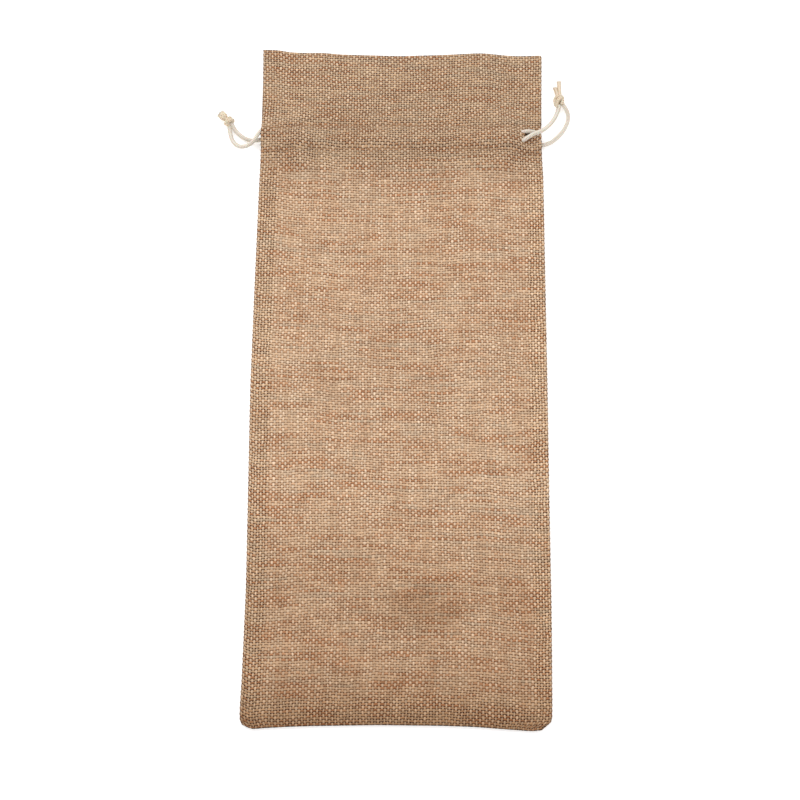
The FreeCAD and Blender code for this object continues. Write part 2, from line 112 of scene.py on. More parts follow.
class Nodes:
    """Writes shader maths as calls: each returns a socket."""

    def __init__(self, name):
        self.material = bpy.data.materials.new(name)
        self.material.use_nodes = True
        self.tree = self.material.node_tree
        self.tree.nodes.clear()
        self.out = self.tree.nodes.new("ShaderNodeOutputMaterial")

    def put(self, socket, value):
        if isinstance(value, bpy.types.NodeSocket):
            self.tree.links.new(value, socket)
        else:
            socket.default_value = value

    def math(self, op, *values):
        node = self.tree.nodes.new("ShaderNodeMath")
        node.operation = op
        for i, value in enumerate(values):
            self.put(node.inputs[i], value)
        return node.outputs[0]

    def ramp(self, value, low, high, to_low=0.0, to_high=1.0):
        """Goes smoothly from to_low to to_high while value goes from low to high."""
        node = self.tree.nodes.new("ShaderNodeMapRange")
        node.interpolation_type = "SMOOTHSTEP"
        for i, v in enumerate((value, low, high, to_low, to_high)):
            self.put(node.inputs[i], v)
        return node.outputs[0]

    def mix(self, factor, a, b, blend="MIX"):
        node = self.tree.nodes.new("ShaderNodeMix")
        node.data_type = "RGBA"
        node.blend_type = blend
        self.put(node.inputs[0], factor)
        self.put(node.inputs[6], a)
        self.put(node.inputs[7], b)
        return node.outputs[2]

    def combine(self, x, y, z=0.0):
        node = self.tree.nodes.new("ShaderNodeCombineXYZ")
        for i, value in enumerate((x, y, z)):
            self.put(node.inputs[i], value)
        return node.outputs[0]

    def dim(self, color, amount):
        """The colour times an amount."""
        return self.mix(1.0, color, self.combine(amount, amount, amount), "MULTIPLY")

    def swing(self, noise, by):
        """A noise value as a shift to both sides of 0."""
        return self.math("MULTIPLY", self.math("SUBTRACT", noise, 0.5), by)

    def noise(self, vector, scale, detail=2.0, rough=0.5):
        node = self.tree.nodes.new("ShaderNodeTexNoise")
        self.put(node.inputs["Vector"], vector)
        self.put(node.inputs["Scale"], scale)
        self.put(node.inputs["Detail"], detail)
        self.put(node.inputs["Roughness"], rough)
        return node.outputs["Fac"]

    def streaks(self, a, a_scale, b, b_scale, layer=0.0, detail=2.0, rough=0.5):
        """Noise over two counts, each with its own scale; every layer is another pattern."""
        a, b = self.math("MULTIPLY", a, a_scale), self.math("MULTIPLY", b, b_scale)
        return self.noise(self.combine(a, b, layer), 1.0, detail, rough)

    def uv(self):
        """The two thread counts (for a tube: turns round it and length) as sockets."""
        node = self.tree.nodes.new("ShaderNodeUVMap")
        node.uv_map = "threads"
        split = self.tree.nodes.new("ShaderNodeSeparateXYZ")
        self.tree.links.new(node.outputs[0], split.inputs[0])
        return split.outputs[0], split.outputs[1]

    def finish(self, color, roughness, height, distance, strength=1.0, sheen=0.0, subsurface=0.0):
        bump = self.tree.nodes.new("ShaderNodeBump")
        bump.inputs["Strength"].default_value = strength
        bump.inputs["Distance"].default_value = distance
        self.put(bump.inputs["Height"], height)
        shader = self.tree.nodes.new("ShaderNodeBsdfPrincipled")
        self.put(shader.inputs["Base Color"], color)
        self.put(shader.inputs["Roughness"], roughness)
        self.put(shader.inputs["Specular IOR Level"], 0.1)
        self.put(shader.inputs["Sheen Weight"], sheen)
        if subsurface:
            self.put(shader.inputs["Subsurface Weight"], subsurface)
            self.put(shader.inputs["Subsurface Scale"], 0.001)
        self.tree.links.new(bump.outputs[0], shader.inputs["Normal"])
        self.tree.links.new(shader.outputs[0], self.out.inputs[0])
        return self.material


def srgb(r, g, b):
    """A colour given as 0 to 255 display values, as the shader's linear one."""
    def linear(c):
        c /= 255.0
        return c / 12.92 if c <= 0.04045 else ((c + 0.055) / 1.055) ** 2.4
    return (linear(r), linear(g), linear(b), 1.0)


# ---------------------------------------------------------------- cloth material
WARP_PALE, WARP_DARK = srgb(238, 213, 186), srgb(210, 179, 149)
WARP_DOUBLED = srgb(252, 228, 204)
# painted shade, a little warm, where the cloth lies double and lets less light through
DOUBLED_SHADE_TINT = (0.95, 0.92, 0.865, 1.0)
WEFT_PALE, WEFT_DARK, WEFT_GREY = srgb(217, 182, 147), srgb(184, 131, 94), srgb(197, 175, 148)
FIBRE = srgb(140, 100, 66)
# painted shade seen in the weave's gaps, on single and on double cloth
GAP_SHADE_PALE, GAP_SHADE_DARK = srgb(112, 64, 28), srgb(70, 24, 3)
# painted shade: how much darker each part of the cloth is drawn, for the doubled hem and seam strips
# that let less light through, the slope below the casing, the stitch rows' valleys, the base curving
# down and a shallow dent; right is a little paler, and cloud is a random tone
SHADE_AND_TONE = {"hem": 0.145, "low": 0.145, "base": 0.175, "rim": 0.14, "left": 0.03, "right": -0.04,
        "valley": 0.06, "patch": 0.15, "cloud": 0.16}
WANDER = 1.3                     # how far a thread strays, in threads
# a thread's half width as a share of the pitch, from thin to thick; how much thinner it is in
# doubled cloth; its height from the weave and from its own roundness; its lift in doubled cloth
WARP = dict(half=(0.27, 0.41), thinner=0.04, rise=(0.40, 0.42), lift=0.16)
WEFT = dict(half=(0.36, 0.58), thinner=0.03, rise=(0.30, 0.60), lift=0.0)
GONE = 1.2                       # drop beyond a thread's own width
GAP_FLOOR, DASH_DEPTH, FIBRE_HEIGHT = -0.45, 0.35, 0.3
DENT_SHADE_CENTRE, DENT_SHADE_REACH = (60.0, 42.5), (22.0, 11.0)   # painted shade over the shallow dent low on the front, in threads
CLOTH_BUMP = 0.00040             # m for one unit of height


def thread_counts(n):
    """Sockets of the weave: even counts u0 and v0, counts u and v of threads that wander, the
    number i and j of a thread, its middle fu and fv, and the over and under of su and sv."""
    m = n.math
    t = SimpleNamespace()
    t.u0, t.v0 = n.uv()
    drift = n.streaks(t.u0, 0.16, t.v0, 0.16, detail=3.0)
    t.drift = n.streaks(t.u0, 0.19, t.v0, 0.19, 9.0, 3.0)
    t.u = m("ADD", t.u0, n.swing(drift, WANDER))
    t.v = m("ADD", t.v0, n.swing(t.drift, WANDER))
    t.i, t.j = m("FLOOR", t.u), m("FLOOR", t.v)
    t.fu = m("SUBTRACT", m("SUBTRACT", t.u, t.i), 0.5)
    t.fv = m("SUBTRACT", m("SUBTRACT", t.v, t.j), 0.5)
    t.su, t.sv = (m("SINE", m("MULTIPLY", count, math.pi)) for count in (t.u, t.v))
    return t


def mark_doubled(n, t):
    """Adds where the cloth lies double: hem, left and right seam, and all of it with the base."""
    m = n.math
    sway = m("MULTIPLY", t.drift, 1.6)
    t.hem = n.ramp(t.v0, WEFTS * 0.800, WEFTS * 0.836)
    t.left = n.ramp(m("ADD", t.u0, sway), 6.6, 8.2, 1.0, 0.0)
    t.right = n.ramp(m("SUBTRACT", t.u0, sway), WARPS - 7.2, WARPS - 6.0, 0.0, 1.0)
    t.single = m("SUBTRACT", 1.0, t.hem)
    side = m("MULTIPLY", m("MAXIMUM", t.left, t.right), t.single)
    base = n.ramp(t.v0, 4.0, 16.0, 1.0, 0.0)
    t.doubled = m("MAXIMUM", m("MAXIMUM", side, t.hem), base)


def thread_height(n, t, from_middle, slub, over, half, thinner, rise, lift):
    """Height of one set of threads, which have thick slubs along them."""
    m = n.math
    width = m("SUBTRACT", n.ramp(slub, 0.28, 0.72, *half), m("MULTIPLY", t.doubled, thinner))
    roundness = m("SUBTRACT", 1.0, m("POWER", m("ABSOLUTE", m("DIVIDE", from_middle, width)), 2.0))
    z = m("ADD", m("MULTIPLY", over, rise[0]), m("MULTIPLY", roundness, rise[1]))
    z = m("ADD", z, m("MULTIPLY", t.doubled, lift))
    return m("SUBTRACT", z, m("MULTIPLY", m("LESS_THAN", roundness, 0.0), GONE))


def mark_relief(n, t):
    """Adds the cloth's top, which thread is on it, the painted shadow dashes under the wefts and the
    fibres.
    """
    m = n.math
    slub_f = n.streaks(t.u, 0.14, t.j, 3.7, 0.0, 2.0, 0.6)
    slub_w = n.streaks(t.i, 5.3, t.v, 0.10, 4.0, 2.0, 0.6)
    over_w = m("MULTIPLY", m("SIGN", t.su), t.sv)          # positive where the warp goes over
    over_f = m("MULTIPLY", m("MULTIPLY", m("SIGN", t.sv), t.su), -1.0)
    z_w = thread_height(n, t, t.fu, slub_w, over_w, **WARP)
    z_f = thread_height(n, t, t.fv, slub_f, over_f, **WEFT)
    # each weft dives under the next warp along a line at its lower side, sunk in the bump and drawn
    # dark as a painted shadow
    dash = m("MULTIPLY", n.ramp(t.fv, -0.50, -0.16, 1.0, 0.0),
             n.ramp(m("ABSOLUTE", t.fu), 0.42, 0.62, 1.0, 0.0))
    dash = m("MULTIPLY", dash, m("LESS_THAN", m("MULTIPLY", t.su, t.sv), 0.0))
    t.dash = m("MULTIPLY", dash, n.ramp(slub_w, 0.25, 0.6, 0.45, 1.0))
    top = m("MAXIMUM", m("MAXIMUM", z_w, z_f), GAP_FLOOR)
    t.top = m("SUBTRACT", top, m("MULTIPLY", t.dash, DASH_DEPTH))
    t.warp_on_top = m("GREATER_THAN", z_w, z_f)
    t.fibre = n.streaks(t.u, 4.0, t.v, 4.0, 2.0, 3.0, 0.7)
    t.patch = n.streaks(t.u0, 0.06, t.v0, 0.16, 5.0, 3.0, 0.6)


def thread_colour(n, t):
    """Pale warps, wefts dyed in streaks, and each crossing a little different."""
    m = n.math
    dye = m("ADD", n.streaks(t.u, 0.075, t.j, 2.31, 1.5, 2.5, 0.62), n.swing(t.patch, 0.45))
    weft = n.mix(n.ramp(dye, 0.32, 0.62), WEFT_DARK, WEFT_PALE)
    grey = n.streaks(t.u, 0.05, t.j, 4.19, 7.5, 2.0, 0.6)
    weft = n.mix(n.ramp(grey, 0.52, 0.70, 0.0, 0.8), weft, WEFT_GREY)
    pale = n.streaks(t.i, 1.71, t.v, 0.05, 3.3, 2.0, 0.6)
    warp = n.mix(n.ramp(pale, 0.3, 0.7), WARP_DARK, WARP_PALE)
    warp = n.mix(m("MULTIPLY", t.doubled, 0.5), warp, WARP_DOUBLED)
    color = n.mix(t.warp_on_top, weft, warp)
    color = n.mix(n.ramp(t.fibre, 0.25, 0.75, 0.0, 0.28), color, FIBRE)
    each = n.streaks(t.i, 7.31, t.j, 5.17, 8.0, 1.0)
    return n.dim(color, n.ramp(each, 0.25, 0.75, 0.80, 1.14))


def shade_gaps(n, t, color):
    """Painted shade: the gaps between threads and the low places of the weave are drawn dark, darkest
    where the cloth lies double.
    """
    m = n.math
    low_at = m("SUBTRACT", -0.12, m("MULTIPLY", m("SUBTRACT", 1.0, t.doubled), 0.16))
    gap = n.mix(t.doubled, GAP_SHADE_PALE, GAP_SHADE_DARK)
    color = n.mix(n.ramp(t.top, low_at, 0.60), gap, color)
    # painted shadow along each dash under a weft
    return n.mix(m("MULTIPLY", t.dash, n.ramp(t.doubled, 0.0, 1.0, 0.92, 1.0)), color, gap)


def shade_areas(n, t, color, shade):
    """Broad tone, mostly painted shade: darker at the hem and the stitch rows, and warmer and darker
    at the base where the cloth curves down; the cloud is a random tone.
    """
    m = n.math
    # painted shade on the hem's double cloth and on the slope up to the casing
    tone = m("SUBTRACT", shade, n.ramp(t.v0, WEFTS * 0.765, WEFTS * 0.840, 0.0, SHADE_AND_TONE["hem"]))
    # painted shade on the left seam strip's double cloth; the right strip is drawn a little paler
    for strip, side in ((t.left, "left"), (t.right, "right")):
        tone = m("SUBTRACT", tone, m("MULTIPLY", m("MULTIPLY", strip, t.single), SHADE_AND_TONE[side]))
    # painted shade in the valleys along the stitch rows
    valley = m("MAXIMUM", row_line(n, t.v0, LOWER_ROW), row_line(n, t.v0, UPPER_ROW))
    tone = m("SUBTRACT", tone, m("MULTIPLY", valley, SHADE_AND_TONE["valley"]))
    cloud = n.streaks(t.u0, 0.03, t.v0, 0.025, 6.0, 3.0)
    color = n.dim(color, m("ADD", tone, n.swing(cloud, SHADE_AND_TONE["cloud"])))
    far = m("ADD", *(m("ABSOLUTE", m("DIVIDE", m("SUBTRACT", at, centre), reach))
                     for at, centre, reach in zip((t.u0, t.v0), DENT_SHADE_CENTRE, DENT_SHADE_REACH)))
    far = m("ADD", far, n.swing(t.patch, 1.5))
    # painted shade where the cloth curves down to the base and its rim, and over the shallow dent;
    # deeper in green and blue, so warmer
    painted_shade = 1.0
    for area, name in ((n.ramp(t.v0, 46.0, 92.0, 1.0, 0.0), "low"),
                       (n.ramp(t.v0, 2.0, 28.0, 1.0, 0.0), "base"),
                       (n.ramp(t.v0, 0.0, 7.0, 1.0, 0.0), "rim"),
                       (n.ramp(far, 0.2, 1.3, 1.0, 0.0), "patch")):
        painted_shade = m("SUBTRACT", painted_shade, m("MULTIPLY", area, SHADE_AND_TONE[name]))
    darker = n.combine(painted_shade, m("POWER", painted_shade, 1.25), m("POWER", painted_shade, 1.5))
    color = n.mix(1.0, color, darker, "MULTIPLY")
    # painted shade where the cloth lies double
    return n.mix(t.doubled, color, DOUBLED_SHADE_TINT, "MULTIPLY")


def row_line(n, v0, y):
    """1 on the weft at a stitch row, 0 a few wefts away."""
    at = (y + TOP) / (2 * TOP) * WEFTS
    away = n.math("ABSOLUTE", n.math("SUBTRACT", v0, at))
    return n.ramp(away, 0.5, 2.2, 1.0, 0.0)


def cloth_material(name, shade):
    """Plain weave of unevenly spun threads.  u counts the warp threads and v the weft threads."""
    n = Nodes(name)
    t = thread_counts(n)
    mark_doubled(n, t)
    mark_relief(n, t)
    color = shade_areas(n, t, shade_gaps(n, t, thread_colour(n, t)), shade)
    height = n.math("ADD", t.top, n.math("MULTIPLY", t.fibre, FIBRE_HEIGHT))
    roughness = n.ramp(t.fibre, 0.3, 0.7, 0.78, 0.95)
    return n.finish(color, roughness, height, CLOTH_BUMP, 1.0, sheen=0.05)


# ---------------------------------------------------------------- shape of the bag
# each table is places and values, mm: a side's x over y, an end's y over x, and the height
# of the front over y along the bag's middle line (CROWN) and along its sides (EDGE)
LEFT_EDGE = ([-172.5, -165, -153, -108, -60, -10, 37, 96, 130, 140, 172.5],
             [-73.2, -73.4, -72.9, -72.3, -72.8, -73.4, -73.0, -72.3, -71.7, -71.6, -72.4])
RIGHT_EDGE = ([-172.5, -165, -120, -60, -10, 40, 105, 119, 128, 142, 172.5],
              [72.7, 73.2, 73.6, 73.4, 73.4, 73.2, 73.0, 72.3, 72.1, 72.5, 73.1])
MOUTH_EDGE = ([-73, -65, -58, -47, -32, 0, 22, 55, 62, 73],
              [174.8, 174.8, 173.1, 171.1, 169.5, 168.7, 169.4, 171.7, 172.3, 172.8])
BASE_EDGE = ([-73.4, -72.2, -70.4, -68, -64, -52, -40, -8, 22, 37, 50, 62, 68, 73],
             [-171.1, -172.6, -174.0, -173.8, -173.4, -172.7, -172.2, -171.5, -171.6, -172.0,
              -172.9, -173.5, -173.8, -173.2])
CROWN = ([-172.5, -168, -161, -142, -125, 85, 108, 115.3, 117, 119.6, 123.2, 127.2, 129.6,
          131.6, 146, 172.5],
         [2.0, 2.5, 3.2, 4.7, 5.3, 5.3, 7.4, 8.7, 8.0, 10.1, 10.5, 10.1, 8.0, 8.7, 8.3, 7.6])
EDGE = ([-172.5, 112, 118.2, 119.8, 127.8, 130.5, 172.5], [1.8, 1.8, 2.1, 4.3, 4.3, 2.0, 1.8])


def curve_at(table, at, spread):
    """A line through the table's points, with its corners rounded over spread."""
    xs, ys = table
    total = 0
    for shift, share in ((-1, 0.25), (-0.5, 0.5), (0, 0.75), (0.5, 0.5), (1, 0.25)):
        total = total + share * np.interp(np.asarray(at) + shift * spread, xs, ys)
    return total / 2.25


# shallow waves of the lying cloth: turn per mm across and along, phase and height
waves = [(rng.uniform(0.02, 0.09), rng.uniform(0.006, 0.05), rng.uniform(0, 6.28),
          rng.uniform(0.05, 0.16)) for _ in range(14)]


def front_height(x, y):
    """Height of the front panel's outer face, mm."""
    from_casing = np.abs(y - CASING)
    slope = 20.0 + 14.0 * smooth((from_casing - 8.0) / 14.0)     # how far in the crown begins
    rise = smooth(np.clip((SIDE - np.abs(x)) / slope, 0, 1)) ** 1.8
    crown = np.where(from_casing < 11, curve_at(CROWN, y, 0.9), curve_at(CROWN, y, 5.0))
    edge = curve_at(EDGE, y, 0.8)
    z = edge + (crown - edge) * rise
    lie = smooth((SIDE - np.abs(x)) / 10.0) * smooth((y + TOP) / 12.0)
    ripple = sum(a * np.sin(kx * x + ky * y + p) for kx, ky, p, a in waves)
    pucker = np.exp(-((y - CASING) / 15.0) ** 2) * 0.22 * (
        np.sin(0.47 * x + 0.8) + 0.6 * np.sin(0.83 * x + 2.1))
    dent = -0.9 * np.exp(-((x - 12) / 26.0) ** 2 - ((y + 113) / 9.0) ** 2)
    return z + lie * (ripple + pucker + dent)


CORNER_REACH, CORNER_INSET = (4.4, 4.6), (1.6, 4.8)      # bottom corners, left and right


def thread_grid(columns, rows):
    """The crossings of a panel's threads: their x and y, and their counts across and along."""
    s, t = np.meshgrid(columns / WARPS, rows / WEFTS)
    y = -TOP + 2 * TOP * t
    left, right = curve_at(LEFT_EDGE, y, 6.0), curve_at(RIGHT_EDGE, y, 5.0)
    x = left + (right - left) * s
    low, high = curve_at(BASE_EDGE, x, 3.0), curve_at(MOUTH_EDGE, x, 3.0)
    y = low + (high - low) * t
    # the bottom corners are rounded
    reach = np.where(x < 0, *CORNER_REACH)
    near = np.clip((-(TOP - 0.5) + reach - y) / reach, 0, 1)
    corner = (1 - np.sqrt(1 - np.minimum(near, 0.999) ** 2)) * np.where(x < 0, *CORNER_INSET)
    x = x - np.sign(x) * corner * np.clip((np.abs(x) - 50) / 22.0, 0, 1)
    x += 0.35 * np.sin(y * 0.021 + s * 5) * np.sin(s * np.pi)
    y += (0.5 * np.sin(x * 0.045 + t * 9.0) + 0.3 * np.sin(x * 0.11 + t * 31.0)) * np.sin(t * np.pi)
    return x, y, s * WARPS, t * WEFTS


def grid_faces(rows, columns, flip=False):
    """The quads of a grid of vertices that is stored row by row."""
    a = np.arange(rows - 1)[:, None] * columns + np.arange(columns - 1)[None, :]
    quads = np.stack([a, a + 1, a + columns + 1, a + columns], -1).reshape(-1, 4)
    return (quads[:, ::-1] if flip else quads).tolist()


SLIT_LOW, SLIT_X = 126.2, 61.0   # the drawstring's opening at the right: its lower edge and end
# the hem's rows: how far each lies beyond the mouth edge (inside is negative) and below the front
HEM_ROWS = [(-float(d), 1.0) for d in range(5, 58, 2)]
HEM_FREE, HEM_SIDE = -39, 57     # deeper than this the hem stops short of the sides
HEM_WIDTH = 0.994                # of the mouth's width


def fold_row(count, before, flip, skip=()):
    """The quads between the vertices before and as many new ones that start at count."""
    here = np.arange(len(before)) + count
    quads = []
    for k in range(len(before) - 1):
        if k in skip:
            continue
        quad = [before[k], before[k + 1], here[k + 1], here[k]]
        quads.append([int(q) for q in (quad[::-1] if flip else quad)])
    return quads, here


def short_of_sides(edge_x, beyond):
    """The hem's cells that are left out in the row that lies beyond the mouth edge."""
    if beyond >= HEM_FREE:
        return ()
    wide = np.maximum(np.abs(edge_x[:-1]), np.abs(edge_x[1:])) > HEM_SIDE
    return set(np.flatnonzero(wide).tolist())


def panel(name, verts, faces, uvs, thickness):
    """A panel's mesh with its cloth's thickness (mm) added inwards."""
    obj = new_mesh(name, np.concatenate(verts), faces, np.concatenate(uvs))
    thick = obj.modifiers.new("thick", "SOLIDIFY")
    thick.thickness = thickness * MM
    thick.offset = -1.0
    return apply_modifiers(obj)


COVERED = (-72.0, 59.6)          # from where to where the front lies over the cords
UPPER_RUN = 3.3                  # a cord's run above this height lies against the front
COVER, FALL, FULL = 1.62, 0.42, 0.7      # cloth above the cord's line, its slope and half width
BLEND = 0.16


def over_cords(x, y, z):
    """Cloth height raised, with a soft start, where a cord lies close under it."""
    for line in cord_lines.values():
        along, height = line[:, 0], line[:, 2]
        under = line[(along > COVERED[0]) & (height > UPPER_RUN) & (along < COVERED[1])][::3]
        need = np.full(z.shape, -9.0)
        for px, py, pz in under:
            near = np.hypot(x - px, y - py)
            need = np.maximum(need, pz + COVER - FALL * np.maximum(near - FULL, 0))
        z = z + BLEND * np.log1p(np.exp(np.clip((need - z) / BLEND, -30, 30)))
    return z


def build_front():
    """The front panel, with one cell for each crossing of two threads."""
    rows, columns = np.arange(0, WEFTS + 1).astype(float), np.arange(0, WARPS + 1).astype(float)
    x, y, u, v = thread_grid(columns, rows)
    scallop = 0.14 * np.where(np.arange(len(rows)) % 2, 1, -1)[:, None]
    x[:, :1] += scallop
    x[:, -1:] += scallop
    # the opening: two wefts stop at its edge and the others are pushed apart
    low = int(np.argmin(np.abs(y[:, -8] - SLIT_LOW)))
    high = low + 2
    gape = smooth((x - SLIT_X + 1.0) / 3.0)
    up = gape * 0.5 * np.exp(-np.maximum(y - y[high], 0) / 5.0)
    down = gape * (-0.3 + 1.5 * smooth((x - 67.0) / 5.0))
    down = down * np.exp(-np.maximum(y[low] - y, 0) / 5.0)
    row_at = np.arange(len(rows))[:, None]
    y = y + np.where(row_at >= high, up, np.where(row_at <= low, down, 0))
    # the left end of the casing bulges a little over the cords
    away = (y - 123.4) / np.where(y > 123.4, 4.2, 1.6)
    x = x - 0.25 * np.exp(-away ** 2) * smooth((-63.0 - x) / 9.0)
    z = over_cords(x, y, front_height(x, y))
    # at the opening's end the cloth sinks under the cord that lies on it
    sunk = smooth((x - SLIT_X) / 3.0) * np.exp(-((y - 122.4) / 2.2) ** 2)
    z -= 1.1 * sunk * smooth((SIDE - x) / 5)
    n_rows, n_cols = x.shape
    verts = [np.stack([x, y, z], -1).reshape(-1, 3)]
    uvs = [np.stack([u, v], -1).reshape(-1, 2)]
    faces = []
    for quad in grid_faces(n_rows, n_cols):
        r, c = divmod(quad[0], n_cols)
        if not (low <= r < high and x[r, c] > SLIT_X + (2.6, 0.4)[r - low]):
            faces.append(quad)
    count = n_rows * n_cols
    # side folds: the cloth turns down to the seam, except at the drawstring's openings
    for side, col in ((-1, 0), (1, n_cols - 1)):
        drop = np.where(np.abs(y[:, col] - 124.0) < 5.8, 0.5, z[:, col] - 1.02)
        before = np.arange(n_rows) * n_cols + col
        for k, (inset, share) in enumerate(((-0.10, 0.4), (0.12, 1.0)), start=1):
            verts.append(np.stack([x[:, col] - side * inset, y[:, col], z[:, col] - drop * share], -1))
            uvs.append(np.stack([u[:, col] + side * k * 0.4, v[:, col]], -1))
            cut = range(low, high) if side == 1 else ()
            quads, before = fold_row(count, before, flip=side == 1, skip=cut)
            faces += quads
            count += n_rows
    # hem: over the mouth edge and back inside as far as the row below the casing
    before = np.arange(n_cols) + (n_rows - 1) * n_cols
    for beyond, below in [(0.32, 0.30), (0.0, 0.78), (-2.0, 1.0)] + HEM_ROWS:
        at = y[-1] + beyond
        deep = np.where(np.abs(at - CASING) < 5.0, 3.6, 1.0) if beyond < -3 else 1.0
        level = np.maximum(front_height(x[-1], at) - below * deep, 1.05)
        verts.append(np.stack([x[-1] * HEM_WIDTH, at, level], -1))
        uvs.append(np.stack([u[-1], v[-1] - beyond / WEFT_PITCH], -1))
        quads, before = fold_row(count, before, flip=False, skip=short_of_sides(x[-1], beyond))
        faces += quads
        count += n_cols
    return panel("front_cloth", verts, faces, uvs, 0.45)


def build_back():
    """The back panel, which lies flat under the front on a coarser grid."""
    x, y, u, v = thread_grid(np.linspace(0, WARPS, 69), np.linspace(0, WEFTS, 181))
    ridge = np.exp(-((y - LOWER_ROW) / 1.6) ** 2) + np.exp(-((y - UPPER_ROW) / 1.6) ** 2)
    z = 0.02 + 0.28 * ridge
    n_rows, n_cols = x.shape
    verts = [np.stack([x, y, z], -1).reshape(-1, 3)]
    uvs = [np.stack([u, v], -1).reshape(-1, 2)]
    faces = grid_faces(n_rows, n_cols, flip=True)
    count = n_rows * n_cols
    for side, col in ((-1, 0), (1, n_cols - 1)):
        before = np.arange(n_rows) * n_cols + col
        for k, (inset, height) in enumerate(((-0.1, 0.5), (0.1, 0.96)), start=1):
            verts.append(np.stack([x[:, col] - side * inset, y[:, col], z[:, col] * 0 + height], -1))
            uvs.append(np.stack([u[:, col] + side * k * 0.4, v[:, col]], -1))
            quads, before = fold_row(count, before, flip=side == -1)
            faces += quads
            count += n_rows
    before = np.arange(n_cols) + (n_rows - 1) * n_cols
    for beyond, height in [(0.3, 0.4), (0.0, 0.8), (-2.0, 1.0)] + HEM_ROWS:
        at = y[-1] + beyond
        over_casing = np.where(np.abs(at - CASING) < 5.5, 2.3, 0.0)
        level = height + over_casing * smooth((66 - np.abs(x[-1])) / 6)
        verts.append(np.stack([x[-1] * HEM_WIDTH, at, level], -1))
        uvs.append(np.stack([u[-1], v[-1] - beyond / WEFT_PITCH], -1))
        quads, before = fold_row(count, before, flip=True, skip=short_of_sides(x[-1], beyond))
        faces += quads
        count += n_cols
    return panel("back_cloth", verts, faces, uvs, 0.4)


# ---------------------------------------------------------------- cords
# each drawstring from its knot through the casing and back, as control points in mm
LEFT_ROUTE = [
    (-88.9, 133.4, 2.5), (-88.6, 130.4, 1.7), (-88.0, 126.4, 1.2), (-86.6, 122.8, 1.2),
    (-83.8, 120.4, 1.4), (-80.4, 119.8, 2.4), (-77.4, 120.7, 3.6), (-75.0, 123.0, 4.6),
    (-73.3, 126.4, 4.9), (-71.0, 128.9, 4.6), (-67.6, 128.4, 4.3), (-63.6, 126.4, 4.2),
    (-57.6, 125.2, 4.2), (-53.2, 125.3, 4.2), (-41.0, 125.0, 4.2), (-19.0, 125.3, 4.2),
    (19.0, 125.0, 4.2), (41.0, 125.3, 4.2), (53.2, 125.2, 4.2), (57.6, 125.8, 4.2),
    (60.8, 127.4, 5.2), (64.6, 128.7, 5.0), (69.2, 128.5, 4.3), (70.8, 126.6, 3.2), (68.6, 124.2, 2.6),
    (64.8, 122.4, 2.2), (61.6, 121.2, 2.0), (58.0, 120.9, 1.65), (54.6, 121.2, 1.65),
    (41.0, 121.0, 1.65), (18.0, 121.3, 1.65), (-18.0, 121.0, 1.65), (-39.0, 121.3, 1.65),
    (-52.0, 121.1, 1.65), (-59.0, 120.8, 1.65), (-65.0, 121.8, 1.6), (-70.2, 124.8, 1.8),
    (-75.0, 123.2, 2.0), (-79.6, 124.2, 1.2), (-83.6, 127.0, 1.2), (-86.2, 129.8, 1.5),
    (-87.9, 133.1, 2.5),
]
RIGHT_ROUTE = [
    (82.0, 144.7, 2.5), (81.6, 142.6, 1.9), (80.6, 139.9, 1.5), (78.9, 136.2, 2.2),
    (76.2, 132.2, 3.8), (73.0, 128.9, 5.4), (70.2, 127.4, 6.4), (67.4, 126.1, 6.6),
    (64.4, 124.3, 5.9), (61.2, 122.5, 5.0), (57.4, 121.4, 4.8), (53.2, 121.1, 4.5),
    (41.0, 121.3, 4.5), (19.0, 121.0, 4.5), (-19.0, 121.3, 4.5), (-41.0, 121.0, 4.5),
    (-53.2, 121.2, 4.5), (-57.6, 121.2, 4.5), (-61.6, 121.2, 4.8), (-65.0, 121.2, 4.1),
    (-66.4, 123.2, 2.8), (-65.0, 125.4, 1.65), (-61.5, 125.5, 1.65), (-54.6, 125.2, 1.65),
    (-41.0, 125.4, 1.65), (-18.0, 125.1, 1.65), (18.0, 125.4, 1.65), (39.0, 125.2, 1.65),
    (52.0, 125.5, 1.65), (59.0, 126.1, 1.65), (64.6, 126.0, 1.65), (69.0, 123.4, 1.65),
    (73.2, 122.3, 1.4), (77.4, 123.9, 1.2), (81.2, 127.3, 1.2), (84.2, 131.0, 1.2),
    (86.3, 135.6, 1.2), (86.7, 139.6, 1.3), (85.2, 143.4, 1.9), (83.0, 145.9, 2.6),
]


def spline_points(name, route, step):
    """The smooth line of a NURBS spline through the route's control points, in mm."""
    data = bpy.data.curves.new(name, "CURVE")
    data.dimensions = "3D"
    data.resolution_u = 24
    spline = data.splines.new("NURBS")
    spline.points.add(len(route) - 1)
    for point, p in zip(spline.points, route):
        point.co = (p[0] * MM, p[1] * MM, p[2] * MM, 1.0)
    spline.order_u = 3
    spline.use_endpoint_u = True
    holder = bpy.data.objects.new(name, data)
    bpy.context.scene.collection.objects.link(holder)
    bpy.context.view_layer.update()
    line = bpy.data.meshes.new_from_object(holder)
    points = np.array([v.co for v in line.vertices]) / MM
    bpy.data.objects.remove(holder)
    bpy.data.meshes.remove(line)
    run = np.concatenate([[0], np.cumsum(np.linalg.norm(np.diff(points, axis=0), axis=1))])
    at = np.linspace(0, run[-1], max(int(run[-1] / step), 4))
    return np.stack([np.interp(at, run, points[:, k]) for k in range(3)], -1)


